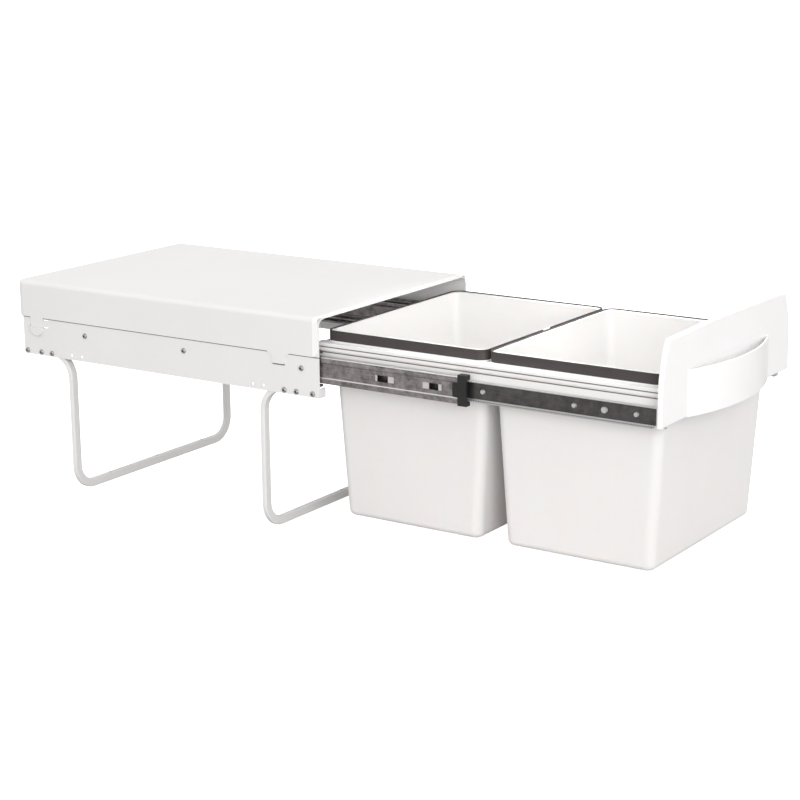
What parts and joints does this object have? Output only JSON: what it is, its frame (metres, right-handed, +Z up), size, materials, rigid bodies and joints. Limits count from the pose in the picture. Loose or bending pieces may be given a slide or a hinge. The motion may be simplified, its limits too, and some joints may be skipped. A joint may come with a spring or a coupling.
{
  "type": "pull out bin frame",
  "caption": "Cupboard pull-out: a folded steel housing on U legs, with telescopic ball slides that carry two tapered bins and a moulded front with a scoop handle.",
  "frame": {"origin": "on the floor, in the middle of the four outer floor screws of the two legs", "axes": "+Y into the cupboard, against the way the drawer opens; +Z up; +X to the right seen from the front"},
  "size_m": [0.3496, 0.999, 0.316],
  "materials": {
    "white_steel": "white powder coat, satin",
    "slide_steel": "zinc-plated, rolled along its length",
    "cage_steel": "bright rolled strip",
    "ball_steel": "polished",
    "screw_steel": "zinc-plated",
    "black_plastic": "moulded, matt",
    "bin_plastic": "moulded, satin white",
    "ring_plastic": "moulded, matt dark grey",
    "front_plastic": "moulded, smooth white"
  },
  "bodies": {
    "frame": {"cover": "white_steel", "leg_front": "white_steel", "leg_rear": "white_steel", "side_panel_left": "white_steel", "side_panel_right": "white_steel", "leg_screws_left": "screw_steel", "leg_screws_right": "screw_steel", "rail_screws_left": "screw_steel", "rail_screws_right": "screw_steel", "outer_rail_left": "slide_steel", "outer_rail_right": "slide_steel"},
    "middle": {"middle_rail_left": "slide_steel", "middle_rail_right": "slide_steel", "end_piece_left": "black_plastic", "end_piece_right": "black_plastic"},
    "outer_cages": {"outer_cage_left": "cage_steel", "outer_cage_right": "cage_steel", "outer_balls_left": "ball_steel", "outer_balls_right": "ball_steel"},
    "inner_cages": {"inner_cage_left": "cage_steel", "inner_cage_right": "cage_steel", "inner_balls_left": "ball_steel", "inner_balls_right": "ball_steel"},
    "drawer": {"carrier_rear_bar": "white_steel", "carrier_middle_bar": "white_steel", "carrier_front_bar": "white_steel", "bin_rear": "bin_plastic", "bin_front": "bin_plastic", "liner_ring_rear": "ring_plastic", "liner_ring_front": "ring_plastic", "front_panel": "front_plastic", "front_panel_screws": "screw_steel", "drawer_rail_left": "slide_steel", "drawer_rail_right": "slide_steel", "drawer_rail_screws_left": "screw_steel", "drawer_rail_screws_right": "screw_steel", "carrier_rail_left": "white_steel", "carrier_rail_right": "white_steel"}
  },
  "joints": [
    {"name": "drawer_slide", "type": "slide", "parent": "frame", "child": "drawer", "axis": [0, 1, 0], "range_m": [0, 0.455]},
    {"name": "middle_slide", "type": "slide", "parent": "frame", "child": "middle", "axis": [0, 1, 0], "range_m": [0, 0.2275]},
    {"name": "outer_cage_slide", "type": "slide", "parent": "frame", "child": "outer_cages", "axis": [0, 1, 0], "range_m": [0, 0.11375]},
    {"name": "inner_cage_slide", "type": "slide", "parent": "frame", "child": "inner_cages", "axis": [0, 1, 0], "range_m": [0, 0.34125]}
  ],
  "couplings": [
    {"joint": "middle_slide", "follows": "drawer_slide", "ratio": 0.5},
    {"joint": "outer_cage_slide", "follows": "drawer_slide", "ratio": 0.25},
    {"joint": "inner_cage_slide", "follows": "drawer_slide", "ratio": 0.75}
  ]
}
